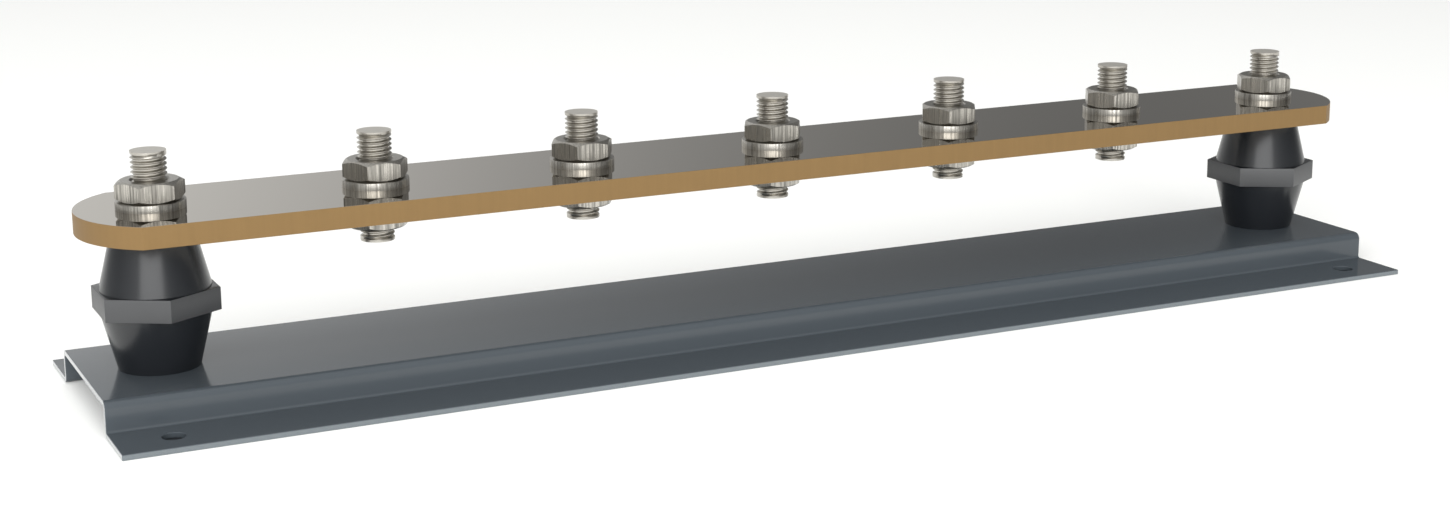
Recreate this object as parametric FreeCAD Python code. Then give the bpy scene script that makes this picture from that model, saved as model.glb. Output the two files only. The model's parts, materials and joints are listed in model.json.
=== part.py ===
import FreeCAD, Part
import math
import os

# Earth terminal bar: a flat bar on two moulded insulators over a folded steel base, with a row of
# threaded studs through it. Millimetres. X runs along the bar, Y across it and Z up. The origin lies
# in the middle of the rectangle that the base stands on.

# Studs
STUD_COUNT = 7
STUD_PITCH = 64.8
STUD_DIAMETER = 10.0
STUD_ABOVE_BAR = 16.2
STUD_BELOW_BAR = 9.9
THREAD_GAP = 0.05

# Terminal bar, with a flat arc at each end, just past the outermost studs
BAR_END_MARGIN = 21.1
BAR_WIDTH = 50.0
BAR_THICKNESS = 6.35
BAR_END_RADIUS = 30.0
STUD_HOLE_CLEARANCE = 0.25

# Folded base: a shallow hat section with a flange along each side, a little longer than the bar
BASE_OVERHANG = 0.3
BASE_WIDTH = 99.6
HAT_WIDTH = 59.0
HAT_HEIGHT = 10.3
SHEET = 1.6
BEND_RADIUS = 0.7

# Fixing holes in the middle of the flanges, one near each corner of the base
FIXING_INSET = 15.8
FIXING_HOLE = 6.5

# Hexagon nuts and flat washers on the studs
NUT_ACROSS_FLATS = 17.0
NUT_HEIGHT = 5.8
WASHER_DIAMETER = 19.5
WASHER_HOLE = 10.5
WASHER_THICKNESS = 2.2

# Moulded insulators: a tapered barrel with a hexagon collar round its middle
INSULATOR_HEIGHT = 39.4
INSULATOR_END_RADIUS = 11.5
INSULATOR_WAIST_RADIUS = 15.5
COLLAR_ACROSS_FLATS = 32.1
COLLAR_HEIGHT = 6.6

# Hexagonal roots of the end studs, moulded into the insulators' heads
STUD_ROOT_FLATS = 14.0
STUD_ROOT_LENGTH = 13.0

# Hexagonal brass inserts moulded into the insulators' feet
INSERT_FLATS = 12.0
INSERT_LENGTH = 12.0
INSERT_FLOOR = 1.5

# Screws that hold the insulators down, driven from under the base
SCREW_DIAMETER = 8.0
SCREW_LENGTH = 10.0
SCREW_HEAD_FLATS = 13.0
SCREW_HEAD_HEIGHT = 5.3
SCREW_HOLE_CLEARANCE = 0.3

# Lengths, levels and places that follow from the sizes above
BAR_LENGTH = (STUD_COUNT - 1) * STUD_PITCH + 2 * BAR_END_MARGIN
BASE_LENGTH = BAR_LENGTH + 2 * BASE_OVERHANG
INSULATOR_FOOT = HAT_HEIGHT
BAR_BOTTOM = INSULATOR_FOOT + INSULATOR_HEIGHT
BAR_TOP = BAR_BOTTOM + BAR_THICKNESS
WASHER_TOP = BAR_TOP + WASHER_THICKNESS
WEB_UNDERSIDE = HAT_HEIGHT - SHEET
FIXING_SPACING_X = BASE_LENGTH - 2 * FIXING_INSET
FIXING_SPACING_Y = (BASE_WIDTH + HAT_WIDTH) / 2
STUD_PLACES = [(i - (STUD_COUNT - 1) / 2) * STUD_PITCH for i in range(STUD_COUNT)]
END_PLACES = [STUD_PLACES[0], STUD_PLACES[-1]]
TERMINAL_PLACES = STUD_PLACES[1:-1]

X_AXIS = FreeCAD.Vector(1, 0, 0)
Z_AXIS = FreeCAD.Vector(0, 0, 1)


def point(x, y, z):
    return FreeCAD.Vector(x, y, z)


def cylinder(diameter, height, x, z, y=0.0):
    """An upright cylinder with its foot at z."""
    return Part.makeCylinder(diameter / 2, height, point(x, y, z))


def rounded_wire(corners):
    """A closed wire across the bar, from (y, z, radius) corners with a tangent arc at each radius."""
    edges = []
    starts = []
    ends = []
    for i, (y, z, radius) in enumerate(corners):
        here = point(0, y, z)
        back = point(0, *corners[i - 1][:2]).sub(here).normalize()
        ahead = point(0, *corners[(i + 1) % len(corners)][:2]).sub(here).normalize()
        if radius == 0:
            starts.append(here)
            ends.append(here)
            continue
        # Every fold here turns by a right angle, so the arc begins one radius before its corner
        start = here + back * radius
        end = here + ahead * radius
        centre = start + ahead * radius
        middle = centre + (here - centre).normalize() * radius
        edges.append(Part.Arc(start, middle, end).toShape())
        starts.append(start)
        ends.append(end)
    for i, end in enumerate(ends):
        following = starts[(i + 1) % len(starts)]
        edges.append(Part.LineSegment(end, following).toShape())
    return Part.Wire(Part.__sortEdges__(edges))


def hexagon(across_flats, height, x, z, turn):
    """An upright hexagonal prism; turn is the angle of its first corner from +X."""
    radius = across_flats / math.sqrt(3)
    corners = []
    for i in range(6):
        angle = math.radians(turn + 60 * i)
        corners.append(point(x + radius * math.cos(angle), radius * math.sin(angle), z))
    corners.append(corners[0])
    return Part.Face(Part.makePolygon(corners)).extrude(Z_AXIS * height)


def make_base():
    """Folded sheet with two raised folds, four fixing holes and a screw hole under each insulator."""
    outer = BEND_RADIUS + SHEET
    edge = BASE_WIDTH / 2
    wall = HAT_WIDTH / 2
    inner_wall = wall - SHEET
    corners = [
        (-edge, 0, 0),
        (-inner_wall, 0, outer),
        (-inner_wall, WEB_UNDERSIDE, BEND_RADIUS),
        (inner_wall, WEB_UNDERSIDE, BEND_RADIUS),
        (inner_wall, 0, outer),
        (edge, 0, 0),
        (edge, SHEET, 0),
        (wall, SHEET, BEND_RADIUS),
        (wall, HAT_HEIGHT, outer),
        (-wall, HAT_HEIGHT, outer),
        (-wall, SHEET, BEND_RADIUS),
        (-edge, SHEET, 0),
    ]
    section = Part.Face(rounded_wire(corners))
    section.translate(point(-BASE_LENGTH / 2, 0, 0))
    base = section.extrude(X_AXIS * BASE_LENGTH)
    holes = []
    for side_x in (-1, 1):
        for side_y in (-1, 1):
            x = side_x * FIXING_SPACING_X / 2
            y = side_y * FIXING_SPACING_Y / 2
            holes.append(cylinder(FIXING_HOLE, SHEET, x, 0, y))
    for x in END_PLACES:
        holes.append(cylinder(SCREW_DIAMETER + 2 * SCREW_HOLE_CLEARANCE, SHEET, x, WEB_UNDERSIDE))
    return base.cut(holes)


def make_bar():
    """Flat bar whose ends are arcs of a larger radius than half its width, with a hole for each stud."""
    half_width = BAR_WIDTH / 2
    end_depth = BAR_END_RADIUS - math.sqrt(BAR_END_RADIUS**2 - half_width**2)
    tip = BAR_LENGTH / 2
    shoulder = tip - end_depth
    edges = []
    for side in (-1, 1):
        edges.append(Part.LineSegment(
            point(-side * shoulder, side * half_width, BAR_BOTTOM),
            point(side * shoulder, side * half_width, BAR_BOTTOM)).toShape())
        edges.append(Part.Arc(
            point(side * shoulder, -half_width, BAR_BOTTOM),
            point(side * tip, 0, BAR_BOTTOM),
            point(side * shoulder, half_width, BAR_BOTTOM)).toShape())
    outline = Part.Face(Part.Wire(Part.__sortEdges__(edges)))
    hole = STUD_DIAMETER + 2 * STUD_HOLE_CLEARANCE
    holes = [cylinder(hole, BAR_THICKNESS, x, BAR_BOTTOM) for x in STUD_PLACES]
    return outline.extrude(Z_AXIS * BAR_THICKNESS).cut(holes)


def stud_root(x):
    """Hexagonal block whose upper end is flush with the insulator's head."""
    return hexagon(STUD_ROOT_FLATS, STUD_ROOT_LENGTH, x, BAR_BOTTOM - STUD_ROOT_LENGTH, 0)


def insert_blank(x):
    """Hexagonal block whose lower end is flush with the insulator's foot."""
    return hexagon(INSERT_FLATS, INSERT_LENGTH, x, INSULATOR_FOOT, 0)


def make_insert(x):
    """Insert for a base screw, bored up to a closed end."""
    depth = INSERT_LENGTH - INSERT_FLOOR
    return insert_blank(x).cut(cylinder(SCREW_DIAMETER + 2 * THREAD_GAP, depth, x, INSULATOR_FOOT))


def make_insulator(x):
    """Barrel of two tapered flanks turned from one profile, joined to the collar and hollowed."""
    waist_low = (INSULATOR_HEIGHT - COLLAR_HEIGHT) / 2
    waist_high = waist_low + COLLAR_HEIGHT
    profile = [
        (0, 0),
        (INSULATOR_END_RADIUS, 0),
        (INSULATOR_WAIST_RADIUS, waist_low),
        (INSULATOR_WAIST_RADIUS, waist_high),
        (INSULATOR_END_RADIUS, INSULATOR_HEIGHT),
        (0, INSULATOR_HEIGHT),
        (0, 0),
    ]
    outline = Part.makePolygon([point(x + r, 0, INSULATOR_FOOT + h) for r, h in profile])
    barrel = Part.Face(outline).revolve(point(x, 0, 0), Z_AXIS, 360)
    collar = hexagon(COLLAR_ACROSS_FLATS, COLLAR_HEIGHT, x, INSULATOR_FOOT + waist_low, 30)
    return barrel.fuse(collar).cut([stud_root(x), insert_blank(x)])


def make_end_stud(x):
    """Stud that rises through the bar from its hexagonal root in the insulator."""
    return stud_root(x).fuse(cylinder(STUD_DIAMETER, BAR_THICKNESS + STUD_ABOVE_BAR, x, BAR_BOTTOM))


def make_terminal_stud(x):
    """Headless stud, held between a nut above the bar and one below it."""
    length = STUD_ABOVE_BAR + BAR_THICKNESS + STUD_BELOW_BAR
    return cylinder(STUD_DIAMETER, length, x, BAR_BOTTOM - STUD_BELOW_BAR)


def make_nut(x, z):
    """Thin hexagon nut with a corner towards each end of the bar."""
    bore = cylinder(STUD_DIAMETER + 2 * THREAD_GAP, NUT_HEIGHT, x, z)
    return hexagon(NUT_ACROSS_FLATS, NUT_HEIGHT, x, z, 0).cut(bore)


def make_washer(x):
    """Flat ring on top of the bar."""
    ring = cylinder(WASHER_DIAMETER, WASHER_THICKNESS, x, BAR_TOP)
    return ring.cut(cylinder(WASHER_HOLE, WASHER_THICKNESS, x, BAR_TOP))


def make_base_screw(x):
    """Hexagon-head screw driven upwards into the insulator's insert."""
    head = hexagon(SCREW_HEAD_FLATS, SCREW_HEAD_HEIGHT, x, WEB_UNDERSIDE - SCREW_HEAD_HEIGHT, 0)
    return head.fuse(cylinder(SCREW_DIAMETER, SCREW_LENGTH, x, WEB_UNDERSIDE))


def group(solids):
    """Like pieces side by side under one name, each still a solid of its own."""
    return Part.makeCompound(list(solids))


def make_parts():
    """Every piece, or group of like pieces, under its own name."""
    parts = {
        "base": make_base(),
        "bar": make_bar(),
        "insulators": group(make_insulator(x) for x in END_PLACES),
        "threaded_inserts": group(make_insert(x) for x in END_PLACES),
        "end_studs": group(make_end_stud(x) for x in END_PLACES),
        "end_washers": group(make_washer(x) for x in END_PLACES),
        "end_nuts": group(make_nut(x, WASHER_TOP) for x in END_PLACES),
        "terminal_washers": group(make_washer(x) for x in TERMINAL_PLACES),
        "terminal_top_nuts": group(make_nut(x, WASHER_TOP) for x in TERMINAL_PLACES),
        "terminal_lower_nuts": group(make_nut(x, BAR_BOTTOM - NUT_HEIGHT) for x in TERMINAL_PLACES),
    }
    for side, x in zip(("left", "right"), END_PLACES):
        parts["base_screw_" + side] = make_base_screw(x)
    for i, x in enumerate(TERMINAL_PLACES):
        parts["terminal_stud_" + str(i + 1)] = make_terminal_stud(x)
    return parts


os.makedirs("parts", exist_ok=True)
for name, shape in make_parts().items():
    shape.exportStep("parts/" + name + ".step")
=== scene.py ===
import json
import math

import bmesh
import bpy
from mathutils import Matrix, Vector

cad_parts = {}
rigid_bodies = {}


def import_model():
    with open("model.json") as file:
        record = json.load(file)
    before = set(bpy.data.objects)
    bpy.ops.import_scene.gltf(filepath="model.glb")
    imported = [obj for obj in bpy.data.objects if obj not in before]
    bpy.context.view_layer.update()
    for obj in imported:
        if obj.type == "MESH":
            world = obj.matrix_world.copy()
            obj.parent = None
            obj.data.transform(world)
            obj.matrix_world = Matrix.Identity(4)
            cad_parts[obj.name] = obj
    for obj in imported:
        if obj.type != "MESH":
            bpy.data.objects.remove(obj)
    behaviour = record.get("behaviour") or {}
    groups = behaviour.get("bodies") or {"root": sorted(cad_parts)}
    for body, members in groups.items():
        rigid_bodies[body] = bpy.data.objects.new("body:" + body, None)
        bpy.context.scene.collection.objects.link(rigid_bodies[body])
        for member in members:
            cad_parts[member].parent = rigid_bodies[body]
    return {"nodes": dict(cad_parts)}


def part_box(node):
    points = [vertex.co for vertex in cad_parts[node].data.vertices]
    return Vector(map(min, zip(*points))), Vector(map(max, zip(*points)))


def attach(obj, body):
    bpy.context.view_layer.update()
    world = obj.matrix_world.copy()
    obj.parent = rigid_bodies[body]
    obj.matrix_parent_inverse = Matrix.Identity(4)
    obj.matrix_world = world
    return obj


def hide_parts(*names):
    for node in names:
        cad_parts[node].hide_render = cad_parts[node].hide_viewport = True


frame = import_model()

bl_info = {
    "name": "Earth terminal bar",
    "version": (1, 0, 0),
    "blender": (4, 5, 0),
    "location": "3D View > Sidebar > Earth bar",
    "description": "Builds the finishes, threads, nuts and folded base of an earth terminal bar",
    "category": "Object",
}

MM = 0.001
TURN = 2 * math.pi

# Boxes of the fixed frame, in metres
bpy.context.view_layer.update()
BAR_LOW, BAR_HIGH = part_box("bar")
BASE_LOW, BASE_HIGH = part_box("base")
INSULATORS_LOW, INSULATORS_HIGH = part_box("insulators")
END_WASHERS_LOW, END_WASHERS_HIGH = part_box("end_washers")
END_NUTS_LOW, END_NUTS_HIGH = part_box("end_nuts")
END_STUDS_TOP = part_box("end_studs")[1].z
TERMINAL_WASHERS_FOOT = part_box("terminal_washers")[0].z
TOP_NUTS_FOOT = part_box("terminal_top_nuts")[0].z
LOWER_NUTS_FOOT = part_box("terminal_lower_nuts")[0].z
TERMINAL_STUDS = ["terminal_stud_" + str(number) for number in range(1, 6)]
BASE_SCREWS = ["base_screw_left", "base_screw_right"]


def middle(cad_node):
    """The x of a CAD node's middle."""
    low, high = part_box(cad_node)
    return (low.x + high.x) / 2


def half_width(cad_node):
    """Half of a CAD node's width across the bar."""
    low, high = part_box(cad_node)
    return (high.y - low.y) / 2


STUD_RADIUS = half_width(TERMINAL_STUDS[0])
WASHER_RADIUS = half_width("end_washers")
NUT_FLAT = half_width("end_nuts")
NUT_HEIGHT = END_NUTS_HIGH.z - END_NUTS_LOW.z
WASHER_THICKNESS = END_WASHERS_HIGH.z - END_WASHERS_LOW.z
TERMINAL_PLACES = [middle(cad_node) for cad_node in TERMINAL_STUDS]
STUD_PITCH = TERMINAL_PLACES[1] - TERMINAL_PLACES[0]
END_PLACES = [TERMINAL_PLACES[0] - STUD_PITCH, TERMINAL_PLACES[-1] + STUD_PITCH]

# Sizes that the frame's boxes don't give, in metres
SHEET_THICKNESS = 1.6 * MM
WEB_HALF_WIDTH = 29.5 * MM
WEB_UNDERSIDE = BASE_HIGH.z - SHEET_THICKNESS
FIXING_HOLE_RADIUS = 3.25 * MM
FIXING_INSET = 15.8 * MM
FIXING_X = BASE_HIGH.x - FIXING_INSET
FIXING_Y = (BASE_HIGH.y + WEB_HALF_WIDTH) / 2
SCREW_RADIUS = 4.0 * MM
SCREW_HOLE_RADIUS = 4.3 * MM
SCREW_TIP = 0.6 * MM
SCREW_FACE_SHARE = 0.92
END_ARC_RADIUS = 30.0 * MM
STUD_HOLE_RADIUS = 5.25 * MM
INSULATOR_END = 11.5 * MM
INSULATOR_WAIST = 15.5 * MM
COLLAR_HEIGHT = 6.6 * MM
COLLAR_FLAT = 16.05 * MM
WASHER_HOLE = 5.25 * MM
NUT_BORE = STUD_RADIUS + 0.05 * MM
NUT_COUNTERSINK = 0.5 * MM

# Holes through the sheet and the bar: x, y, foot, top and radius
BASE_HOLES = [
    (side_x * FIXING_X, side_y * FIXING_Y, 0.0, SHEET_THICKNESS, FIXING_HOLE_RADIUS)
    for side_x in (-1, 1) for side_y in (-1, 1)
] + [(x, 0.0, WEB_UNDERSIDE, BASE_HIGH.z, SCREW_HOLE_RADIUS) for x in END_PLACES]
BAR_HOLES = [(x, 0.0, BAR_LOW.z, BAR_HIGH.z, STUD_HOLE_RADIUS) for x in END_PLACES + TERMINAL_PLACES]

# Flat sides that stand for a full round, and steps of the base's folds and the bar's end arcs
INSULATOR_SIDES = 144
NUT_SIDES = 144
WASHER_SIDES = 120
SCREW_SIDES = 96
HOLE_SIDES = 72
THREAD_SIDES = 72
FOLD_STEPS = 10
END_ARC_STEPS = 48

# A softened edge in three rings, as shares of the softness: how far in, and how far along
SOFT_STEPS = [(1.0, 0.0), (0.3, 0.3), (0.0, 1.0)]

# Flat tops and bottoms of the thread's profile, as shares of its pitch
THREAD_CREST, THREAD_ROOT = 1 / 8, 1 / 4

# Angles in degrees between faces from which an edge is softened, and from which it is shaded sharp
SOFTEN_FROM = 50
SHARP_PLATE, SHARP_HEXAGON, SHARP_MOULDING, SHARP_WASHER, SHARP_THREAD = 15, 20, 28, 30, 40

# Share of a face's normal along an axis from which the face looks that way, and is quite square to it
FACING, SQUARE = 0.9, 0.999

# The photograph's camera: frame and optical axis in pixels, place in metres, turns in radians
PHOTO_WIDTH, PHOTO_HEIGHT = 1450, 509
PHOTO_AXIS_X, PHOTO_AXIS_Y = 772.07, 183.13
PHOTO_FOCAL_PIXELS = 2311.75
SENSOR_WIDTH = 36.0
CAMERA_PLACE = Vector((-0.32494, -0.63939, 0.19586))
CAMERA_YAW, CAMERA_PITCH, CAMERA_ROLL = 0.470, 0.209, -0.002

# Soft lights: name, place, target, watts, width and height in metres, and whether reflections show it
STUDIO_LIGHTS = [
    ("overhead_softbox", (-0.2, -0.1, 1.6), (0, 0, 0), 9.0, (1.6, 1.2), False),
    ("front_softbox", (-0.9, -1.5, 0.9), (0, 0, 0.03), 26.0, (2.2, 1.2), False),
    ("highlight_softbox", (-0.75, -1.65, 0.75), (0, 0, 0.03), 12.0, (1.7, 1.0), True),
    ("low_front_fill", (-0.6, -2.0, 0.25), (0, 0, 0.03), 20.0, (1.5, 0.5), False),
]

# Light from the room in front of the bar and behind it: x of the direction, and level
FRONT_LEVELS = [
    (-1.0, 0.6), (-0.88, 0.85), (-0.7, 1.25), (-0.45, 1.1), (-0.2, 0.95), (0.1, 0.9), (0.4, 0.45),
    (0.7, 0.3), (0.9, 0.2), (1.0, 0.15)]
BACK_LEVELS = [
    (-1.0, 0.45), (-0.7, 0.4), (-0.2, 1.0), (0.05, 1.0), (0.2, 0.9), (0.35, 0.47), (0.5, 0.23),
    (0.65, 0.17), (0.8, 0.5), (1.0, 0.45)]
ROOM_COLOUR = "F1F2F2"

FLOOR_REACH = 6.0
# How far the floor's painted shade stays in from the flanges' edges
SHADE_INSET = 2.0 * MM


# Colours and nodes

def linear(hex_colour):
    """A six-digit sRGB hex value as linear red, green, blue and alpha."""
    channels = []
    for start in (0, 2, 4):
        value = int(hex_colour[start:start + 2], 16) / 255
        channels.append(value / 12.92 if value <= 0.04045 else ((value + 0.055) / 1.055) ** 2.4)
    return (*channels, 1.0)


def scaled(colour, factor):
    """A colour made darker or lighter by a factor."""
    return (*(min(1.0, factor * channel) for channel in colour[:3]), 1.0)


def node(tree, kind, inputs=None, **settings):
    """Adds a node, sets its settings, and fills its inputs with values or with links from sockets."""
    made = tree.nodes.new(kind)
    for name, value in settings.items():
        setattr(made, name, value)
    for key, value in (inputs or {}).items():
        if isinstance(value, bpy.types.NodeSocket):
            tree.links.new(value, made.inputs[key])
        else:
            made.inputs[key].default_value = value
    return made


# Mesh helpers

def smooth(mesh, sharp_from):
    """Smooth shading, with edges kept sharp where faces meet at more than an angle in degrees."""
    for face in mesh.polygons:
        face.use_smooth = True
    mesh.set_sharp_from_angle(angle=math.radians(sharp_from))


def finish_mesh(name, mesh, material_names, sharp_from):
    """The object of a finished mesh, with its materials and smooth shading."""
    piece = bpy.data.objects.new(name, mesh)
    bpy.context.scene.collection.objects.link(piece)
    for material_name in material_names:
        mesh.materials.append(bpy.data.materials[material_name])
    smooth(mesh, sharp_from)
    return piece


def mesh_of(bm, name):
    """A mesh from a bmesh whose faces are turned outwards."""
    bmesh.ops.remove_doubles(bm, verts=bm.verts, dist=1e-7)
    bmesh.ops.recalc_face_normals(bm, faces=bm.faces)
    mesh = bpy.data.meshes.new(name)
    bm.to_mesh(mesh)
    bm.free()
    return mesh


def prism(name, outlines):
    """A closed mesh between two like outlines."""
    bm = bmesh.new()
    low, high = ([bm.verts.new(point) for point in outline] for outline in outlines)
    for i in range(len(low)):
        j = (i + 1) % len(low)
        bm.faces.new((low[i], low[j], high[j], high[i]))
    bm.faces.new(reversed(low))
    bm.faces.new(high)
    return mesh_of(bm, name)


def skin(name, rings, looped=False):
    """A closed mesh over rings of points round one axis; a looped skin ends where it starts."""
    bm = bmesh.new()
    rows = [[bm.verts.new(point) for point in points] for points in rings]
    pairs = list(zip(rows, rows[1:]))
    if looped:
        pairs.append((rows[-1], rows[0]))
    for low, high in pairs:
        for i in range(max(len(low), len(high))):
            corners = []
            for row, step in ((low, 0), (low, 1), (high, 1), (high, 0)):
                vertex = row[(i + step) % len(row)]
                if vertex not in corners:
                    corners.append(vertex)
            if len(corners) > 2:
                bm.faces.new(corners)
    return mesh_of(bm, name)


def ring(x, z, radius, sides, inset=0.0):
    """Points round an upright axis at x; height and radius are values or functions of the angle."""
    points = []
    for i in range(sides):
        angle = TURN * i / sides
        reach = (radius(angle) if callable(radius) else radius) - inset
        height = z(angle) if callable(z) else z
        points.append((x + reach * math.cos(angle), reach * math.sin(angle), height))
    return points


def hexagon(flat, turn=0.0):
    """The function of the angle that gives a hexagon's radius, for a corner at turn."""
    def radius(angle):
        share = (angle - turn) % (TURN / 6) - TURN / 12
        return flat / math.cos(share)
    return radius


def chamfer(corner, face, slope):
    """The function of the angle that gives how far a hexagon's corners fall back from its face."""
    return lambda angle: max(0.0, corner(angle) - face) * math.tan(slope)


def quarter(y, z, radius, start):
    """A quarter turn round a centre, from a start angle in degrees; a minus radius runs back."""
    angles = [math.radians(start + 90 * i / FOLD_STEPS) for i in range(FOLD_STEPS + 1)]
    if radius < 0:
        angles.reverse()
    size = abs(radius)
    return [(y + size * math.cos(angle), z + size * math.sin(angle)) for angle in angles]


def modified_copy(piece):
    """A plain mesh of an object with its modifiers, which are then removed."""
    bpy.context.view_layer.update()
    graph = bpy.context.evaluated_depsgraph_get()
    mesh = bpy.data.meshes.new_from_object(piece.evaluated_get(graph))
    piece.modifiers.clear()
    old = piece.data
    piece.data = mesh
    mesh.name = piece.name
    bpy.data.meshes.remove(old)
    return mesh


def drill(piece, holes, softness):
    """Cuts upright holes through a plate and softens its edges; gives the new mesh."""
    bits = bmesh.new()
    for x, y, low, high, radius in holes:
        bmesh.ops.create_cone(
            bits, cap_ends=True, segments=HOLE_SIDES, radius1=radius, radius2=radius,
            depth=2 * (high - low), matrix=Matrix.Translation((x, y, (low + high) / 2)))
    cutter = bpy.data.objects.new("hole_cutter", mesh_of(bits, "hole_cutter"))
    bpy.context.scene.collection.objects.link(cutter)
    boolean = piece.modifiers.new("holes", "BOOLEAN")
    boolean.operation = "DIFFERENCE"
    boolean.solver = "EXACT"
    boolean.object = cutter
    soften = piece.modifiers.new("soften", "BEVEL")
    soften.width = softness
    soften.segments = 2
    soften.limit_method = "ANGLE"
    soften.angle_limit = math.radians(SOFTEN_FROM)
    mesh = modified_copy(piece)
    bpy.data.objects.remove(cutter)
    smooth(mesh, SHARP_PLATE)
    return mesh


def place_piece(piece, slot, *nodes):
    """Ties a finished piece to the one body and hides the CAD nodes it stands for; the slot is not used.
    """
    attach(piece, "root")
    if nodes:
        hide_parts(*nodes)


# Sizes and colours that a user may change

class EARTHBAR_PG_sizes(bpy.types.PropertyGroup):
    """Sizes of the fine forms that the frame leaves plain."""

    thread_pitch: bpy.props.FloatProperty(
        name="Thread pitch", description="Rise of the stud's thread in one turn",
        default=1.38 * MM, precision=5, unit="LENGTH")
    thread_depth: bpy.props.FloatProperty(
        name="Thread depth", description="Depth of the thread's groove",
        default=0.75 * MM, precision=5, unit="LENGTH")
    thread_end: bpy.props.FloatProperty(
        name="Thread run-out", description="Plain band at each end of a stud, where the groove fades",
        default=1.0 * MM, precision=5, unit="LENGTH")
    nut_face: bpy.props.FloatProperty(
        name="Nut face", description="Radius of the flat ring inside the nut's chamfer",
        default=8.0 * MM, precision=5, unit="LENGTH")
    nut_chamfer: bpy.props.FloatProperty(
        name="Nut chamfer", description="Slope of the chamfer on the nut's corners",
        default=math.radians(30), subtype="ANGLE")
    sheet_thickness: bpy.props.FloatProperty(
        name="Sheet", description="Thickness of the base's sheet",
        default=SHEET_THICKNESS, precision=5, unit="LENGTH")
    bend_radius: bpy.props.FloatProperty(
        name="Bend radius", description="Inner radius of the base's folds",
        default=0.7 * MM, precision=5, unit="LENGTH")
    edge_softness: bpy.props.FloatProperty(
        name="Edge softness", description="Width of the small round on cut and moulded edges",
        default=0.2 * MM, precision=5, unit="LENGTH")


class EARTHBAR_PG_colours(bpy.types.PropertyGroup):
    """Colours of the finishes, as linear values."""

    base: bpy.props.FloatVectorProperty(
        name="Base", description="Stove enamel on the folded base",
        subtype="COLOR", size=4, min=0, max=1, default=linear("454B50"))
    cut_edge: bpy.props.FloatVectorProperty(
        name="Cut edge", description="Zinc on the base's cut edges",
        subtype="COLOR", size=4, min=0, max=1, default=linear("747C81"))
    bar_face: bpy.props.FloatVectorProperty(
        name="Bar face", description="Polished nickel on the bar's two broad faces",
        subtype="COLOR", size=4, min=0, max=1, default=linear("B8B1A6"))
    bar_edge: bpy.props.FloatVectorProperty(
        name="Bar edge", description="Bare brass on the bar's milled edge",
        subtype="COLOR", size=4, min=0, max=1, default=linear("8D7149"))
    steel: bpy.props.FloatVectorProperty(
        name="Fasteners", description="Brushed steel of studs, nuts and washers",
        subtype="COLOR", size=4, min=0, max=1, default=linear("C2BEB6"))
    moulding: bpy.props.FloatVectorProperty(
        name="Insulators", description="Black moulding compound",
        subtype="COLOR", size=4, min=0, max=1, default=linear("15171A"))
    insert: bpy.props.FloatVectorProperty(
        name="Inserts", description="Turned brass of the inserts",
        subtype="COLOR", size=4, min=0, max=1, default=linear("D9B26B"))
    floor: bpy.props.FloatVectorProperty(
        name="Floor", description="Plain studio floor",
        subtype="COLOR", size=4, min=0, max=1, default=linear("F4F4F2"))
    # Painted shade: a dark floor colour right under the flanges, which shows through their fixing holes
    shade: bpy.props.FloatVectorProperty(
        name="Shade", description="Ground in the deep shade right under the base",
        subtype="COLOR", size=4, min=0, max=1, default=linear("26282B"))


# Materials. Each function adds a finish's pattern to a tree and gives the inputs of its shader. A noise
# of scale 1000 has grains of about 1 mm

def enamelled_steel(tree, place, colours):
    """Stove-enamelled sheet steel: a hard gloss over dark slate grey, with a fine orange peel."""
    # Peel of about 2.4 mm, and a haze that drifts over some 70 mm
    peel = node(tree, "ShaderNodeTexNoise", {"Vector": place, "Scale": 420.0, "Detail": 2.0})
    haze = node(tree, "ShaderNodeTexNoise", {"Vector": place, "Scale": 14.0, "Detail": 4.0})
    gloss = node(tree, "ShaderNodeMapRange", {
        "Value": haze.outputs["Fac"], "From Min": 0.3, "From Max": 0.7, "To Min": 0.11, "To Max": 0.14})
    tint = node(tree, "ShaderNodeMix", {
        "Factor": haze.outputs["Fac"], "A": colours.base, "B": scaled(colours.base, 0.93)},
        data_type="RGBA")
    bump = node(tree, "ShaderNodeBump", {
        "Height": peel.outputs["Fac"], "Strength": 0.02, "Distance": 0.1 * MM})
    return {
        "Base Color": tint.outputs["Result"], "Roughness": gloss.outputs["Result"],
        "IOR": 1.48, "Normal": bump.outputs["Normal"]}


def sheared_zinc(tree, place, colours):
    """Sheared zinc-coated sheet: fine lines from the shear, and a clear coat that shines when seen low."""
    # Upright lines of about 1.1 mm, coarser than real ones so that they show
    stretch = node(tree, "ShaderNodeMapping", {"Vector": place, "Scale": (900.0, 900.0, 60.0)})
    lines = node(tree, "ShaderNodeTexNoise", {
        "Vector": stretch.outputs["Vector"], "Scale": 1.0, "Detail": 3.0})
    dullness = node(tree, "ShaderNodeMapRange", {
        "Value": lines.outputs["Fac"], "To Min": 0.16, "To Max": 0.3})
    bump = node(tree, "ShaderNodeBump", {
        "Height": lines.outputs["Fac"], "Strength": 0.15, "Distance": 0.1 * MM})
    return {
        "Base Color": colours.cut_edge, "Metallic": 0.7, "Roughness": dullness.outputs["Result"],
        "Coat Weight": 1.0, "Coat Roughness": 0.05, "Normal": bump.outputs["Normal"]}


def nickel_plate(tree, place, colours):
    """Bright nickel plate on a polished face: nearly a mirror, a trace duller where it was handled."""
    # Handling marks of about 45 mm
    haze = node(tree, "ShaderNodeTexNoise", {"Vector": place, "Scale": 22.0, "Detail": 5.0})
    gloss = node(tree, "ShaderNodeMapRange", {
        "Value": haze.outputs["Fac"], "From Min": 0.35, "From Max": 0.65,
        "To Min": 0.012, "To Max": 0.03})
    return {
        "Base Color": colours.bar_face, "Metallic": 1.0, "Roughness": gloss.outputs["Result"]}


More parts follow.
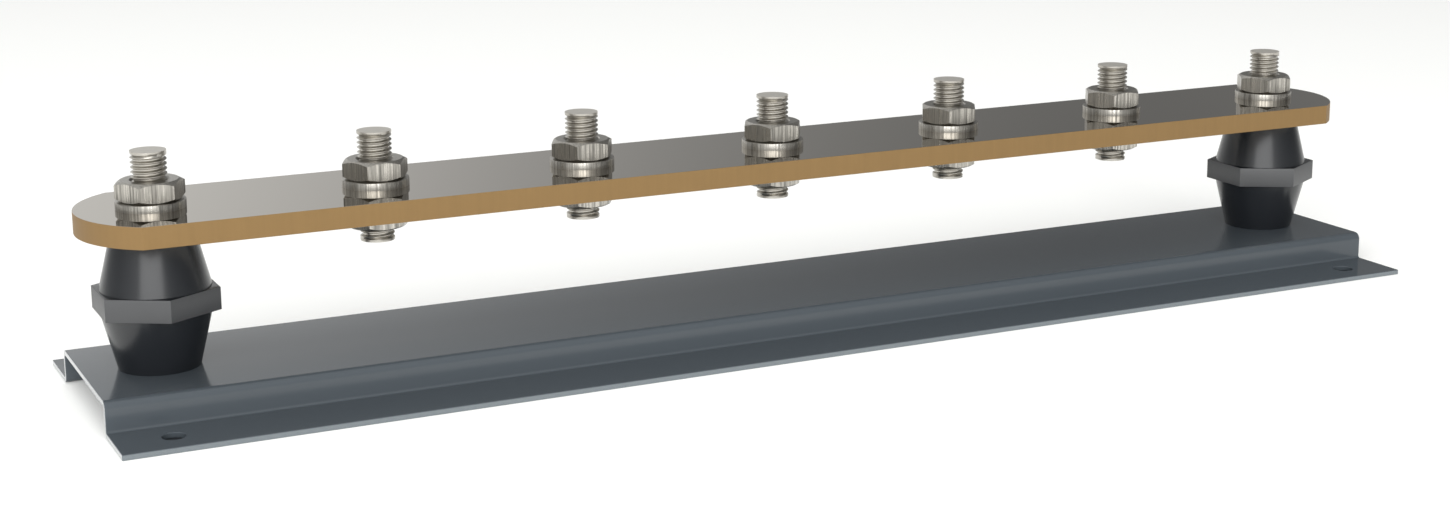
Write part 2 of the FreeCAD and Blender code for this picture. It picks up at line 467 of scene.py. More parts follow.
def milled_brass(tree, place, colours):
    """Milled brass edge: matt warm gold, with faint cutter lines across the thickness."""
    # Cutter lines about 1.4 mm apart
    stretch = node(tree, "ShaderNodeMapping", {"Vector": place, "Scale": (700.0, 700.0, 25.0)})
    lines = node(tree, "ShaderNodeTexNoise", {
        "Vector": stretch.outputs["Vector"], "Scale": 1.0, "Detail": 3.0})
    tone = node(tree, "ShaderNodeMix", {
        "Factor": lines.outputs["Fac"],
        "A": scaled(colours.bar_edge, 0.94), "B": scaled(colours.bar_edge, 1.05)}, data_type="RGBA")
    bump = node(tree, "ShaderNodeBump", {
        "Height": lines.outputs["Fac"], "Strength": 0.1, "Distance": 0.05 * MM})
    return {
        "Base Color": tone.outputs["Result"], "Metallic": 0.55, "Roughness": 0.55,
        "Normal": bump.outputs["Normal"]}


def brushed_steel(tree, place, colours):
    """Upright brushing on nuts and washers, with light and dark streaks; flat ends are more even."""
    # Streaks are about 0.7 mm wide, coarser than real brushing, so that they show
    stretch = node(tree, "ShaderNodeMapping", {"Vector": place, "Scale": (1500.0, 1500.0, 50.0)})
    streaks = node(tree, "ShaderNodeTexNoise", {
        "Vector": stretch.outputs["Vector"], "Scale": 1.0, "Detail": 4.0, "Roughness": 0.65})
    ramp = node(tree, "ShaderNodeMapRange", {
        "Value": streaks.outputs["Fac"], "From Min": 0.36, "From Max": 0.62})
    # On faces that look up or down the streaks keep a quarter of their strength
    normal = node(tree, "ShaderNodeTexCoord").outputs["Normal"]
    facing = node(tree, "ShaderNodeSeparateXYZ", {"Vector": normal})
    level = node(tree, "ShaderNodeMath", {0: facing.outputs["Z"]}, operation="ABSOLUTE")
    strength = node(tree, "ShaderNodeMapRange", {
        "Value": level.outputs["Value"], "From Min": 0.6, "From Max": 0.95,
        "To Min": 1.0, "To Max": 0.25})
    contrast = node(tree, "ShaderNodeMix", {
        "Factor": strength.outputs["Result"], "A": 0.36, "B": ramp.outputs["Result"]})
    tone = node(tree, "ShaderNodeMix", {
        "Factor": contrast.outputs["Result"],
        "A": scaled(colours.steel, 0.48), "B": scaled(colours.steel, 1.12)}, data_type="RGBA")
    dullness = node(tree, "ShaderNodeMapRange", {
        "Value": contrast.outputs["Result"], "To Min": 0.42, "To Max": 0.24})
    depth = node(tree, "ShaderNodeMath", {
        0: strength.outputs["Result"], 1: 0.35}, operation="MULTIPLY")
    bump = node(tree, "ShaderNodeBump", {
        "Height": streaks.outputs["Fac"], "Strength": depth.outputs["Value"], "Distance": 0.08 * MM})
    return {
        "Base Color": tone.outputs["Result"], "Metallic": 1.0,
        "Roughness": dullness.outputs["Result"], "Normal": bump.outputs["Normal"]}


def rolled_thread(tree, place, colours):
    """Rolled and plated thread: smoother than the nuts, with a light grain from the blank."""
    # Grain of about 1.1 mm
    grain = node(tree, "ShaderNodeTexNoise", {"Vector": place, "Scale": 900.0, "Detail": 3.0})
    tone = node(tree, "ShaderNodeMix", {
        "Factor": grain.outputs["Fac"],
        "A": scaled(colours.steel, 0.8), "B": scaled(colours.steel, 1.1)}, data_type="RGBA")
    dullness = node(tree, "ShaderNodeMapRange", {
        "Value": grain.outputs["Fac"], "To Min": 0.26, "To Max": 0.38})
    return {
        "Base Color": tone.outputs["Result"], "Metallic": 1.0,
        "Roughness": dullness.outputs["Result"]}


def faced_end(tree, place, colours):
    """Faced end of a stud: paler and duller than its thread, with fine marks from the cut."""
    # Marks of about 0.6 mm
    marks = node(tree, "ShaderNodeTexNoise", {"Vector": place, "Scale": 1600.0, "Detail": 3.0})
    tone = node(tree, "ShaderNodeMix", {
        "Factor": marks.outputs["Fac"],
        "A": scaled(colours.steel, 0.75), "B": scaled(colours.steel, 0.95)}, data_type="RGBA")
    return {
        "Base Color": tone.outputs["Result"], "Metallic": 0.5, "Roughness": 0.45}


def moulding(tree, place, colours, roughness, lift):
    """Black moulding compound: the cones come glossy from the tool, the collar's flats a little dull."""
    # Flow marks of about 11 mm and grit of about 0.7 mm
    flow = node(tree, "ShaderNodeTexNoise", {"Vector": place, "Scale": 90.0, "Detail": 4.0})
    grit = node(tree, "ShaderNodeTexNoise", {"Vector": place, "Scale": 1400.0, "Detail": 2.0})
    body = (*(min(1.0, channel + lift) for channel in colours.moulding[:3]), 1.0)
    tone = node(tree, "ShaderNodeMix", {
        "Factor": flow.outputs["Fac"], "A": body, "B": scaled(body, 1.25)}, data_type="RGBA")
    gloss = node(tree, "ShaderNodeMapRange", {
        "Value": flow.outputs["Fac"], "From Min": 0.3, "From Max": 0.7,
        "To Min": roughness, "To Max": roughness * 1.15})
    bump = node(tree, "ShaderNodeBump", {
        "Height": grit.outputs["Fac"], "Strength": 0.05, "Distance": 0.05 * MM})
    return {
        "Base Color": tone.outputs["Result"], "Roughness": gloss.outputs["Result"], "IOR": 1.6,
        "Normal": bump.outputs["Normal"]}


def turned_brass(tree, place, colours):
    """Turned brass of the moulded-in inserts: warm and satin, with rings from the lathe."""
    # Lathe rings about 1.1 mm apart
    stretch = node(tree, "ShaderNodeMapping", {"Vector": place, "Scale": (30.0, 30.0, 900.0)})
    rings = node(tree, "ShaderNodeTexNoise", {
        "Vector": stretch.outputs["Vector"], "Scale": 1.0, "Detail": 2.0})
    dullness = node(tree, "ShaderNodeMapRange", {
        "Value": rings.outputs["Fac"], "To Min": 0.2, "To Max": 0.4})
    return {
        "Base Color": colours.insert, "Metallic": 1.0, "Roughness": dullness.outputs["Result"]}


def paper_floor(tree, place, colours):
    """Matt paper floor, pale and even, but for a patch of painted shade under the flanges."""
    # A mottle of some 330 mm
    mottle = node(tree, "ShaderNodeTexNoise", {"Vector": place, "Scale": 3.0})
    tone = node(tree, "ShaderNodeMapRange", {
        "Value": mottle.outputs["Fac"], "To Min": 0.88, "To Max": 0.92})
    # Painted shade: the ground right under the flanges gets a dark colour that stands in for the deep
    # shade there, and it shows only through their holes
    spot = node(tree, "ShaderNodeSeparateXYZ", {"Vector": place})
    inside = []
    for axis, centre, reach in (("X", 0.0, BASE_HIGH.x), ("Y", FIXING_Y, BASE_HIGH.y - FIXING_Y)):
        away = node(tree, "ShaderNodeMath", {0: spot.outputs[axis]}, operation="ABSOLUTE")
        inside.append(node(tree, "ShaderNodeMath", {
            0: away.outputs["Value"], 1: centre, 2: reach - SHADE_INSET}, operation="COMPARE"))
    under = node(tree, "ShaderNodeMath", {
        0: inside[0].outputs["Value"], 1: inside[1].outputs["Value"]}, operation="MULTIPLY")
    ground = node(tree, "ShaderNodeMix", {
        "Factor": under.outputs["Value"], "A": colours.floor, "B": colours.shade}, data_type="RGBA")
    return {
        "Base Color": ground.outputs["Result"], "Roughness": tone.outputs["Result"],
        "Specular IOR Level": 0.1, "Emission Color": ground.outputs["Result"],
        "Emission Strength": 0.12}


# Each material's name, its function and the values that the function is told besides
FINISHES = [
    ("stove_enamelled_steel", enamelled_steel, {}),
    ("sheared_zinc_edge", sheared_zinc, {}),
    ("bright_nickel_plate", nickel_plate, {}),
    ("milled_brass_edge", milled_brass, {}),
    ("brushed_steel", brushed_steel, {}),
    ("rolled_steel_thread", rolled_thread, {}),
    ("faced_steel_end", faced_end, {}),
    ("glossy_black_moulding", moulding, {"roughness": 0.23, "lift": 0.0}),
    ("dull_black_moulding", moulding, {"roughness": 0.4, "lift": 0.03}),
    ("turned_brass", turned_brass, {}),
    ("matt_studio_floor", paper_floor, {}),
]


# Geometry Nodes: a threaded stud, and a row of like pieces along the bar

def new_group(name, inputs):
    """A geometry node group with a geometry output and named inputs, and its two end nodes."""
    tree = bpy.data.node_groups.new(name, "GeometryNodeTree")
    for label, kind in inputs:
        tree.interface.new_socket(label, in_out="INPUT", socket_type=kind)
    tree.interface.new_socket("Geometry", in_out="OUTPUT", socket_type="NodeSocketGeometry")
    return tree, node(tree, "NodeGroupInput"), node(tree, "NodeGroupOutput")


def make_thread_tree():
    """A threaded rod: a grid rolled into a helix, so that its rows follow the thread."""
    number = "NodeSocketFloat"
    tree, given, output = new_group("threaded_stud", [
        ("X", number), ("Foot", number), ("Length", number), ("Radius", number),
        ("Pitch", number), ("Depth", number), ("Run-out", number), ("Crest", number),
        ("Root", number), ("Columns", "NodeSocketInt"), ("Material", "NodeSocketMaterial")])
    position = node(tree, "GeometryNodeInputPosition")
    spot = node(tree, "ShaderNodeSeparateXYZ", {"Vector": position.outputs["Position"]})
    values = {socket.name: socket for socket in given.outputs if socket.name}
    values.update({"grid x": spot.outputs["X"], "grid y": spot.outputs["Y"]})

    # Each formula: the value that it gives, its operation and its terms
    formulas = [
        # Four rows of the grid for each turn of the thread, with a spare turn at each end
        ("turns", "DIVIDE", "Length", "Pitch"),
        ("with spare", "ADD", "turns", 2.0),
        ("whole turns", "CEIL", "with spare"),
        ("rows", "MULTIPLY", "whole turns", 4.0),
        ("points up", "ADD", "rows", 1.0),
        ("points round", "ADD", "Columns", 1.0),
        # A point's share of the way round, and the number of its row
        ("around", "ADD", "grid x", 0.5),
        ("up", "ADD", "grid y", 0.5),
        ("rows up", "MULTIPLY", "up", "rows"),
        ("row", "ROUND", "rows up"),
        # A turn's four rows are the two edges of the flat crest, then the two edges of the flat root
        ("step", "FLOORED_MODULO", "row", 4.0),
        ("in root", "GREATER_THAN", "step", 1.5),
        ("wider", "SUBTRACT", "Root", "Crest"),
        ("flat", "MULTIPLY_ADD", "in root", "wider", "Crest"),
        ("half flat", "MULTIPLY", "flat", 0.5),
        ("edge", "FLOORED_MODULO", "row", 2.0),
        ("side", "MULTIPLY_ADD", "edge", 2.0, -1.0),
        ("part turn", "DIVIDE", "row", 4.0),
        ("turn", "FLOOR", "part turn"),
        ("centre", "MULTIPLY_ADD", "in root", 0.5, "turn"),
        ("along", "MULTIPLY_ADD", "side", "half flat", "centre"),
        # Once round the grid rises by one pitch, and both ends are cut off square
        ("wound", "ADD", "along", "around"),
        ("lowered", "SUBTRACT", "wound", 1.5),
        ("risen", "MULTIPLY", "lowered", "Pitch"),
        ("above foot", "MAXIMUM", "risen", 0.0),
        ("height", "MINIMUM", "above foot", "Length"),
        # The groove starts 0.8 run-outs from the nearest end, and is full at 1.4 run-outs
        ("from top", "SUBTRACT", "Length", "height"),
        ("from end", "MINIMUM", "height", "from top"),
        ("run-outs", "DIVIDE", "from end", "Run-out"),
        ("past start", "SUBTRACT", "run-outs", 0.8),
        ("fade", "DIVIDE", "past start", 1.4 - 0.8),
        ("fade from none", "MAXIMUM", "fade", 0.0),
        ("fade to full", "MINIMUM", "fade from none", 1.0),
        ("share cut", "MULTIPLY", "in root", "fade to full"),
        ("cut", "MULTIPLY", "share cut", "Depth"),
        ("wall", "SUBTRACT", "Radius", "cut"),
        # The first and last rows close the ends at the axis
        ("last row", "SUBTRACT", "rows", 0.5),
        ("before last", "LESS_THAN", "row", "last row"),
        ("after first", "GREATER_THAN", "row", 0.5),
        ("between", "MULTIPLY", "after first", "before last"),
        ("reach", "MULTIPLY", "wall", "between"),
        ("angle", "MULTIPLY", "around", TURN),
        ("cosine", "COSINE", "angle"),
        ("sine", "SINE", "angle"),
        ("to x", "MULTIPLY_ADD", "reach", "cosine", "X"),
        ("to y", "MULTIPLY", "reach", "sine"),
        ("to z", "ADD", "Foot", "height"),
    ]
    for name, operation, *terms in formulas:
        inputs = {i: values.get(term, term) for i, term in enumerate(terms)}
        values[name] = node(tree, "ShaderNodeMath", inputs, operation=operation).outputs["Value"]

    grid = node(tree, "GeometryNodeMeshGrid", {
        "Size X": 1.0, "Size Y": 1.0,
        "Vertices X": values["points round"], "Vertices Y": values["points up"]})
    place = node(tree, "ShaderNodeCombineXYZ", {
        "X": values["to x"], "Y": values["to y"], "Z": values["to z"]})
    rolled = node(tree, "GeometryNodeSetPosition", {
        "Geometry": grid.outputs["Mesh"], "Position": place.outputs["Vector"]})
    welded = node(tree, "GeometryNodeMergeByDistance", {
        "Geometry": rolled.outputs["Geometry"], "Distance": 0.004 * MM})
    real = node(tree, "GeometryNodeRealizeInstances", {"Geometry": welded.outputs["Geometry"]})
    dressed = node(tree, "GeometryNodeSetMaterial", {
        "Geometry": real.outputs["Geometry"], "Material": values["Material"]})
    tree.links.new(dressed.outputs["Geometry"], output.inputs["Geometry"])
    return tree


def make_row_tree():
    """A row of one piece, repeated along the bar."""
    number = "NodeSocketFloat"
    tree, given, output = new_group("row_along_bar", [
        ("Piece", "NodeSocketObject"), ("Count", "NodeSocketInt"), ("First X", number),
        ("Pitch", number), ("Height", number), ("Material", "NodeSocketMaterial")])
    inputs = given.outputs
    start = node(tree, "ShaderNodeCombineXYZ", {"X": inputs["First X"], "Z": inputs["Height"]})
    step = node(tree, "ShaderNodeCombineXYZ", {"X": inputs["Pitch"]})
    line = node(tree, "GeometryNodeMeshLine", {
        "Count": inputs["Count"], "Start Location": start.outputs["Vector"],
        "Offset": step.outputs["Vector"]}, mode="OFFSET")
    source = node(tree, "GeometryNodeObjectInfo", {"Object": inputs["Piece"]})
    copies = node(tree, "GeometryNodeInstanceOnPoints", {
        "Points": line.outputs["Mesh"], "Instance": source.outputs["Geometry"]})
    real = node(tree, "GeometryNodeRealizeInstances", {"Geometry": copies.outputs["Instances"]})
    dressed = node(tree, "GeometryNodeSetMaterial", {
        "Geometry": real.outputs["Geometry"], "Material": inputs["Material"]})
    tree.links.new(dressed.outputs["Geometry"], output.inputs["Geometry"])
    return tree


def grow(name, tree, values, sharp_from):
    """A piece whose mesh a node group makes from the named values."""
    piece = bpy.data.objects.new(name, bpy.data.meshes.new(name))
    bpy.context.scene.collection.objects.link(piece)
    modifier = piece.modifiers.new("grow", "NODES")
    modifier.node_group = tree
    for item in tree.interface.items_tree:
        if item.item_type == "SOCKET" and item.in_out == "INPUT":
            modifier[item.identifier] = values[item.name]
    mesh = modified_copy(piece)
    mesh.materials.clear()
    mesh.materials.append(values["Material"])
    for face in mesh.polygons:
        face.material_index = 0
    smooth(mesh, sharp_from)
    return piece


def lay_rows(pattern, rows, sharp_from):
    """Repeats a pattern piece for each row: its name, CAD node, places along the bar and height."""
    tree = bpy.data.node_groups.get("row_along_bar") or make_row_tree()
    for name, cad_node, places, height in rows:
        piece = grow(name, tree, {
            "Piece": pattern, "Count": len(places), "First X": places[0],
            "Pitch": places[1] - places[0], "Height": height,
            "Material": bpy.data.materials["brushed_steel"]}, sharp_from)
        place_piece(piece, "fastener", cad_node)
    bpy.data.objects.remove(pattern)


# Operators, one for each piece or group of like pieces

class EARTHBAR_OT_materials(bpy.types.Operator):
    """Make every finish of the part"""

    bl_idname = "earthbar.materials"
    bl_label = "Finishes"

    def execute(self, context):
        for name, finish, values in FINISHES:
            material = bpy.data.materials.new(name)
            material.use_nodes = True
            tree = material.node_tree
            tree.nodes.clear()
            place = node(tree, "ShaderNodeTexCoord").outputs["Object"]
            inputs = finish(tree, place, context.scene.earthbar_colours, **values)
            shader = node(tree, "ShaderNodeBsdfPrincipled", inputs)
            node(tree, "ShaderNodeOutputMaterial", {"Surface": shader.outputs["BSDF"]})
        return {"FINISHED"}


class EARTHBAR_OT_base(bpy.types.Operator):
    """Fold the base from sheet, with its four fixing holes and two screw holes"""

    bl_idname = "earthbar.base"
    bl_label = "Folded base"

    def execute(self, context):
        sizes = context.scene.earthbar_sizes
        sheet, bend = sizes.sheet_thickness, sizes.bend_radius
        outer = bend + sheet
        edge = BASE_HIGH.y
        foot_fold = (WEB_HALF_WIDTH + bend, outer)
        top_fold = (WEB_HALF_WIDTH - outer, BASE_HIGH.z - outer)

        # Half of the upper line, from the flange's edge over the folds, then half of the lower line
        over = [(edge, sheet)] + quarter(*foot_fold, -bend, 180) + quarter(*top_fold, outer, 0)
        under = quarter(*top_fold, -bend, 0) + quarter(*foot_fold, outer, 180) + [(edge, 0.0)]
        profile = over + [(-y, z) for y, z in reversed(over)]
        profile += [(-y, z) for y, z in reversed(under)] + under
        mesh = prism("folded_base", [[(x, y, z) for y, z in profile] for x in (BASE_LOW.x, BASE_HIGH.x)])
        finishes = ["stove_enamelled_steel", "sheared_zinc_edge"]
        piece = finish_mesh("folded_base", mesh, finishes, SHARP_PLATE)
        for face in drill(piece, BASE_HOLES, sizes.edge_softness).polygons:
            across = abs(face.normal.y) > FACING and abs(face.center.y) > edge - sheet
            ending = abs(face.normal.x) > FACING and abs(face.center.x) > BASE_HIGH.x - sheet
            face.material_index = 1 if across or ending else 0
        place_piece(piece, "base_sheet", "base")
        return {"FINISHED"}


class EARTHBAR_OT_bar(bpy.types.Operator):
    """Cut the bar with its arc ends and stud holes, plated faces and bare edge"""

    bl_idname = "earthbar.bar"
    bl_label = "Terminal bar"

    def execute(self, context):
        swing = math.asin(BAR_HIGH.y / END_ARC_RADIUS)
        outline = []
        for side in (1, -1):
            centre = side * (BAR_HIGH.x - END_ARC_RADIUS)
            for i in range(END_ARC_STEPS + 1):
                angle = -swing + 2 * swing * i / END_ARC_STEPS
                outline.append((
                    centre + side * END_ARC_RADIUS * math.cos(angle),
                    side * END_ARC_RADIUS * math.sin(angle)))
        mesh = prism("plated_bar", [[(x, y, z) for x, y in outline] for z in (BAR_LOW.z, BAR_HIGH.z)])
        finishes = ["bright_nickel_plate", "milled_brass_edge"]
        piece = finish_mesh("plated_bar", mesh, finishes, SHARP_PLATE)
        softness = context.scene.earthbar_sizes.edge_softness / 2
        for face in drill(piece, BAR_HOLES, softness).polygons:
            face.material_index = 0 if abs(face.normal.z) > FACING else 1
        place_piece(piece, "terminal_bar", "bar")
        return {"FINISHED"}


class EARTHBAR_OT_insulators(bpy.types.Operator):
    """Mould the two insulators: tapered barrels with a hexagon collar round the middle"""

    bl_idname = "earthbar.insulators"
    bl_label = "Insulators"

    def execute(self, context):
        soft = context.scene.earthbar_sizes.edge_softness
        low, high = INSULATORS_LOW.z, INSULATORS_HIGH.z
        waist_low = (low + high - COLLAR_HEIGHT) / 2
        waist_high = (low + high + COLLAR_HEIGHT) / 2
        collar = hexagon(COLLAR_FLAT, TURN / 12)

        def softened(x, z, radius, way):
            """The rings of an edge that opens upwards (way 1) or closes upwards (way -1)."""
            rings = [
                ring(x, z + way * rise * soft, radius, INSULATOR_SIDES, inset * soft)
                for inset, rise in SOFT_STEPS]
            return rings[::way]

        for name, x in zip(("insulator_left", "insulator_right"), END_PLACES):
            mesh = skin(name, [
                [(x, 0, low)],
                *softened(x, low, INSULATOR_END, 1),
                ring(x, waist_low, INSULATOR_WAIST, INSULATOR_SIDES),
                *softened(x, waist_low, collar, 1),
                *softened(x, waist_high, collar, -1),
                ring(x, waist_high, INSULATOR_WAIST, INSULATOR_SIDES),
                *softened(x, high, INSULATOR_END, -1),
                [(x, 0, high)],
            ])
            finishes = ["glossy_black_moulding", "dull_black_moulding"]
            piece = finish_mesh(name, mesh, finishes, SHARP_MOULDING)
            for face in mesh.polygons:
                out = math.hypot(face.center.x - x, face.center.y) > INSULATOR_WAIST
                level = waist_low < face.center.z < waist_high
                face.material_index = 1 if out and level else 0
            place_piece(piece, "insulator")
        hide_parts("insulators")
        return {"FINISHED"}


class EARTHBAR_OT_studs(bpy.types.Operator):
    """Roll the thread of each stud"""

    bl_idname = "earthbar.studs"
    bl_label = "Threaded studs"

    def execute(self, context):
        sizes = context.scene.earthbar_sizes
        tree = make_thread_tree()
        values = {
            "Radius": STUD_RADIUS, "Pitch": sizes.thread_pitch, "Depth": sizes.thread_depth,
            "Run-out": sizes.thread_end, "Crest": THREAD_CREST, "Root": THREAD_ROOT,
            "Columns": THREAD_SIDES, "Material": bpy.data.materials["rolled_steel_thread"]}

        def roll(name, x, foot, top):
            """One stud, with the finish of a cut end on its two end faces."""
            values.update({"X": x, "Foot": foot, "Length": top - foot})
            piece = grow(name, tree, values, SHARP_THREAD)
            piece.data.materials.append(bpy.data.materials["faced_steel_end"])
            for face in piece.data.polygons:
                if abs(face.normal.z) > SQUARE:
                    face.material_index = 1
            return piece

        for cad_node, x in zip(TERMINAL_STUDS, TERMINAL_PLACES):
            low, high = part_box(cad_node)
            place_piece(roll("threaded_" + cad_node, x, low.z, high.z), "fastener", cad_node)
        # The end studs are seen from the bar upwards; below it they are inside the insulators
        for name, x in zip(("threaded_end_stud_left", "threaded_end_stud_right"), END_PLACES):
            place_piece(roll(name, x, BAR_LOW.z, END_STUDS_TOP), "fastener")
        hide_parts("end_studs")
        return {"FINISHED"}


class EARTHBAR_OT_nuts(bpy.types.Operator):
    """Chamfer one hexagon nut and repeat it above and below the bar"""

    bl_idname = "earthbar.nuts"
    bl_label = "Nuts"

    def execute(self, context):
        sizes = context.scene.earthbar_sizes
        corner = hexagon(NUT_FLAT)
        drop = chamfer(corner, sizes.nut_face, sizes.nut_chamfer)
        mesh = skin("nut_pattern", [
            ring(0, 0, NUT_BORE + NUT_COUNTERSINK, NUT_SIDES),
            ring(0, 0, sizes.nut_face, NUT_SIDES),
            ring(0, drop, corner, NUT_SIDES),
            ring(0, lambda angle: NUT_HEIGHT - drop(angle), corner, NUT_SIDES),
            ring(0, NUT_HEIGHT, sizes.nut_face, NUT_SIDES),
            ring(0, NUT_HEIGHT, NUT_BORE + NUT_COUNTERSINK, NUT_SIDES),
            ring(0, NUT_HEIGHT - NUT_COUNTERSINK, NUT_BORE, NUT_SIDES),
            ring(0, NUT_COUNTERSINK, NUT_BORE, NUT_SIDES),
        ], looped=True)
        lay_rows(finish_mesh("nut_pattern", mesh, ["brushed_steel"], SHARP_HEXAGON), [
            ("chamfered_end_nuts", "end_nuts", END_PLACES, END_NUTS_LOW.z),
            ("chamfered_top_nuts", "terminal_top_nuts", TERMINAL_PLACES, TOP_NUTS_FOOT),
            ("chamfered_lower_nuts", "terminal_lower_nuts", TERMINAL_PLACES, LOWER_NUTS_FOOT),
        ], SHARP_HEXAGON)
        return {"FINISHED"}


class EARTHBAR_OT_washers(bpy.types.Operator):
    """Round one flat washer's edges and repeat it along the bar"""

    bl_idname = "earthbar.washers"
    bl_label = "Washers"

    def execute(self, context):
        soft = context.scene.earthbar_sizes.edge_softness
        inner, outer, high = WASHER_HOLE, WASHER_RADIUS, WASHER_THICKNESS
        # A stamped washer: rounded where the punch went in, square where it came out
        section = [(inner, 0), (outer, 0)]
        section += [(outer - inset * soft, high - rise * soft) for inset, rise in reversed(SOFT_STEPS)]
        section += [(inner + soft, high), (inner, high - soft)]
        rings = [ring(0, z, radius, WASHER_SIDES) for radius, z in section]
        mesh = skin("washer_pattern", rings, looped=True)
        lay_rows(finish_mesh("washer_pattern", mesh, ["brushed_steel"], SHARP_WASHER), [
            ("rounded_end_washers", "end_washers", END_PLACES, END_WASHERS_LOW.z),
            ("rounded_terminal_washers", "terminal_washers", TERMINAL_PLACES, TERMINAL_WASHERS_FOOT),
        ], SHARP_WASHER)
        return {"FINISHED"}


class EARTHBAR_OT_hidden_parts(bpy.types.Operator):
    """Finish the base screws and the moulded-in inserts"""

    bl_idname = "earthbar.hidden_parts"
    bl_label = "Base screws and inserts"

    def execute(self, context):
        sizes = context.scene.earthbar_sizes
        for cad_node in BASE_SCREWS:
            low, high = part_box(cad_node)
            foot, tip = low.z, high.z
            x, flat = middle(cad_node), half_width(cad_node)
            corner = hexagon(flat)
            face = SCREW_FACE_SHARE * flat
            drop = chamfer(corner, face, sizes.nut_chamfer)
            name = "chamfered_" + cad_node
            mesh = skin(name, [
                [(x, 0, foot)],
                ring(x, foot, face, SCREW_SIDES),
                ring(x, lambda angle: foot + drop(angle), corner, SCREW_SIDES),
                ring(x, WEB_UNDERSIDE, corner, SCREW_SIDES),
                ring(x, WEB_UNDERSIDE, SCREW_RADIUS, SCREW_SIDES),
                ring(x, tip - SCREW_TIP, SCREW_RADIUS, SCREW_SIDES),
                ring(x, tip, SCREW_RADIUS - SCREW_TIP, SCREW_SIDES),
                [(x, 0, tip)],
            ])
            piece = finish_mesh(name, mesh, ["brushed_steel"], SHARP_HEXAGON)
            place_piece(piece, "fastener", cad_node)
        inserts = frame["nodes"]["threaded_inserts"]
        inserts.data.materials.clear()
        inserts.data.materials.append(bpy.data.materials["turned_brass"])
        return {"FINISHED"}


# The studio

def light_room(scene):
    """Light from the room: brightest behind the bar and front left of it, dimmer to the sides."""
    world = bpy.data.worlds.new("studio_air")
    scene.world = world
    world.use_nodes = True
    air = world.node_tree
    air.nodes.clear()
    direction = node(air, "ShaderNodeTexCoord")
    parts = node(air, "ShaderNodeSeparateXYZ", {"Vector": direction.outputs["Generated"]})
    across = node(air, "ShaderNodeMapRange", {"Value": parts.outputs["X"], "From Min": -1.0})
    behind = node(air, "ShaderNodeMapRange", {
        "Value": parts.outputs["Y"], "From Min": -0.2, "From Max": 0.2},
        interpolation_type="SMOOTHSTEP")
    halves = []
    for stops in (FRONT_LEVELS, BACK_LEVELS):
        ramp = node(air, "ShaderNodeValToRGB", {"Fac": across.outputs["Result"]})
        ramp.color_ramp.interpolation = "B_SPLINE"
        marks = ramp.color_ramp.elements
        marks.remove(marks[1])
        for number, (x, level) in enumerate(stops):
            mark = marks.new((x + 1) / 2) if number else marks[0]
            mark.color = (level, level, level, 1.0)
        halves.append(ramp.outputs["Color"])
    strength = node(air, "ShaderNodeMix", {
        "Factor": behind.outputs["Result"], "A": halves[0], "B": halves[1]}, data_type="RGBA")
    backdrop = node(air, "ShaderNodeBackground", {
        "Color": linear(ROOM_COLOUR), "Strength": strength.outputs["Result"]})
    node(air, "ShaderNodeOutputWorld", {"Surface": backdrop.outputs["Background"]})


def hang_lights(scene):
    """The soft lights. One is for mouldings and fasteners alone, so the bar's mirror has no glare."""
    for name, spot, target, power, size, reflected in STUDIO_LIGHTS:
        lamp = bpy.data.lights.new(name, "AREA")
        lamp.shape = "RECTANGLE"
        lamp.size, lamp.size_y = size
        lamp.energy = power
        holder = bpy.data.objects.new(name, lamp)
        scene.collection.objects.link(holder)
        holder.location = spot
        holder.visible_glossy = reflected
        aim = Vector(target) - Vector(spot)
        holder.rotation_euler = aim.to_track_quat("-Z", "Y").to_euler()
    lit = bpy.data.collections.new("highlight_receivers")
    for piece in scene.objects:
        if piece.type == "MESH" and piece.name not in ("folded_base", "plated_bar", "studio_floor"):
            lit.objects.link(piece)
    bpy.data.objects["highlight_softbox"].light_linking.receiver_collection = lit


def set_camera(scene):
    """The camera at the photograph's place, with its angle of view and framing."""
    lens = bpy.data.cameras.new("photo_camera")
    lens.sensor_width = SENSOR_WIDTH
    lens.lens = PHOTO_FOCAL_PIXELS * SENSOR_WIDTH / PHOTO_WIDTH
    lens.shift_x = (PHOTO_WIDTH / 2 - PHOTO_AXIS_X) / PHOTO_WIDTH
    lens.shift_y = (PHOTO_AXIS_Y - PHOTO_HEIGHT / 2) / PHOTO_WIDTH
    lens.clip_start, lens.clip_end = 0.01, 50
    camera = bpy.data.objects.new("photo_camera", lens)
    scene.collection.objects.link(camera)
    forward = Vector((
        math.sin(CAMERA_YAW) * math.cos(CAMERA_PITCH),
        math.cos(CAMERA_YAW) * math.cos(CAMERA_PITCH),
        -math.sin(CAMERA_PITCH)))
    right = Vector((math.cos(CAMERA_YAW), -math.sin(CAMERA_YAW), 0))
    turn = Matrix((right, right.cross(forward), -forward)).transposed().to_4x4()
    camera.matrix_world = Matrix.Translation(CAMERA_PLACE) @ turn @ Matrix.Rotation(CAMERA_ROLL, 4, "Z")
    scene.camera = camera


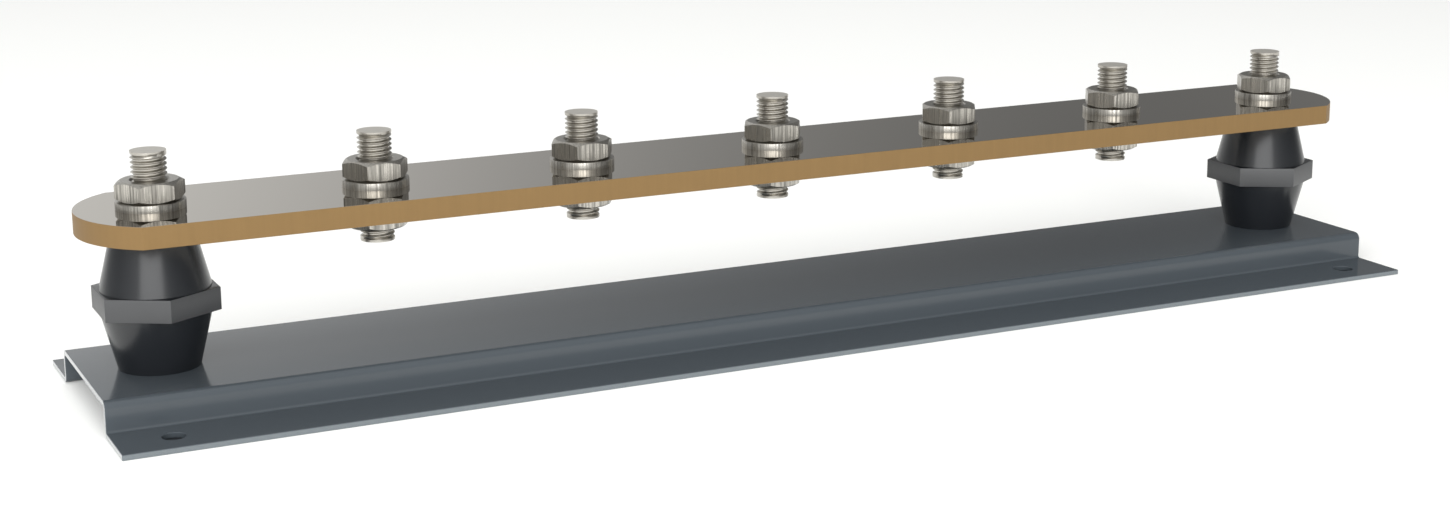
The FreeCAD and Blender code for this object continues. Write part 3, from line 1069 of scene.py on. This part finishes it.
class EARTHBAR_OT_stage(bpy.types.Operator):
    """Lay the floor, light the studio and set the camera"""

    bl_idname = "earthbar.stage"
    bl_label = "Studio"

    def execute(self, context):
        scene = context.scene
        bm = bmesh.new()
        bmesh.ops.create_grid(bm, x_segments=8, y_segments=8, size=FLOOR_REACH)
        mesh = mesh_of(bm, "studio_floor")
        floor = finish_mesh("studio_floor", mesh, ["matt_studio_floor"], SHARP_PLATE)
        floor.location.z = BASE_LOW.z
        light_room(scene)
        hang_lights(scene)
        set_camera(scene)
        scene.view_settings.view_transform = "Standard"
        return {"FINISHED"}


STEPS = [
    EARTHBAR_OT_materials,
    EARTHBAR_OT_base,
    EARTHBAR_OT_bar,
    EARTHBAR_OT_insulators,
    EARTHBAR_OT_studs,
    EARTHBAR_OT_nuts,
    EARTHBAR_OT_washers,
    EARTHBAR_OT_hidden_parts,
    EARTHBAR_OT_stage,
]


class EARTHBAR_PT_panel(bpy.types.Panel):
    """The part's operators and the sizes and colours that they use"""

    bl_idname = "EARTHBAR_PT_panel"
    bl_label = "Earth bar"
    bl_space_type = "VIEW_3D"
    bl_region_type = "UI"
    bl_category = "Earth bar"

    def draw(self, context):
        layout = self.layout
        for step in STEPS:
            layout.operator(step.bl_idname)
        for group in (context.scene.earthbar_sizes, context.scene.earthbar_colours):
            box = layout.box()
            for name in group.__annotations__:
                box.prop(group, name)


CLASSES = [EARTHBAR_PG_sizes, EARTHBAR_PG_colours, *STEPS, EARTHBAR_PT_panel]


def register():
    for item in CLASSES:
        bpy.utils.register_class(item)
    bpy.types.Scene.earthbar_sizes = bpy.props.PointerProperty(type=EARTHBAR_PG_sizes)
    bpy.types.Scene.earthbar_colours = bpy.props.PointerProperty(type=EARTHBAR_PG_colours)


def unregister():
    del bpy.types.Scene.earthbar_colours
    del bpy.types.Scene.earthbar_sizes
    for item in reversed(CLASSES):
        bpy.utils.unregister_class(item)


def main():
    register()
    bpy.ops.earthbar.materials()
    bpy.ops.earthbar.base()
    bpy.ops.earthbar.bar()
    bpy.ops.earthbar.insulators()
    bpy.ops.earthbar.studs()
    bpy.ops.earthbar.nuts()
    bpy.ops.earthbar.washers()
    bpy.ops.earthbar.hidden_parts()
    bpy.ops.earthbar.stage()


if __name__ == "__main__":
    main()
